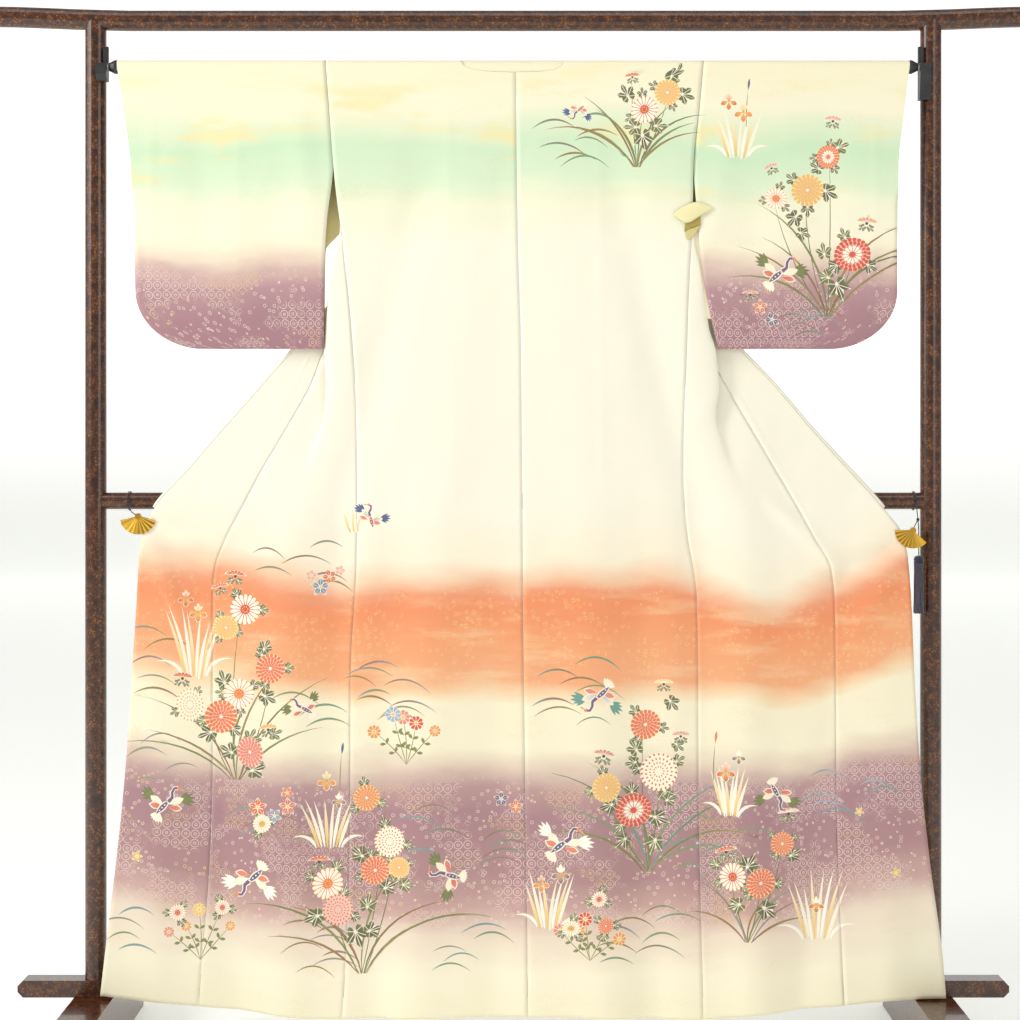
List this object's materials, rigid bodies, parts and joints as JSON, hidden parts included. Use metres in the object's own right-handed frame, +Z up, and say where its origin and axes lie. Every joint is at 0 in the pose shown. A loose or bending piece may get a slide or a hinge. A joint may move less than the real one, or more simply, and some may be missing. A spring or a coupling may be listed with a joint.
{
  "type": "homongi kimono on a kimono stand",
  "caption": "Lined silk homongi kimono seen from its back, sleeves on a rod, fronts spread sideways and clipped to the middle rail of a lacquered sledge-foot stand.",
  "frame": {"origin": "on the floor under the middle of the stand", "axes": "+X to the viewer's right along the rod, +Z up, -Y the way the garment's back faces"},
  "size_m": [1.7604, 0.46, 1.734],
  "materials": {
    "silk": "soft satin",
    "lacquer": "gloss lacquer",
    "rod_silver": "satin",
    "black_fittings": "satin",
    "clip_gold": "polished",
    "cord_dark": "twisted",
    "tassel_thread": "soft"
  },
  "bodies": {
    "root": {"body_left": "silk", "body_right": "silk", "okumi_left": "silk", "okumi_right": "silk", "sleeve_left": "silk", "sleeve_right": "silk", "collar": "silk", "post_left": "lacquer", "post_right": "lacquer", "foot_left": "lacquer", "foot_right": "lacquer", "bottom_bar": "lacquer", "middle_rail": "lacquer", "top_rail": "lacquer", "rod": "rod_silver", "rod_knob_left": "black_fittings", "rod_knob_right": "black_fittings", "bracket_left": "black_fittings", "bracket_right": "black_fittings", "fan_clip_left": "clip_gold", "fan_clip_right": "clip_gold", "cord_left": "cord_dark", "cord_right": "cord_dark", "tassel": "tassel_thread"}
  },
  "joints": []
}
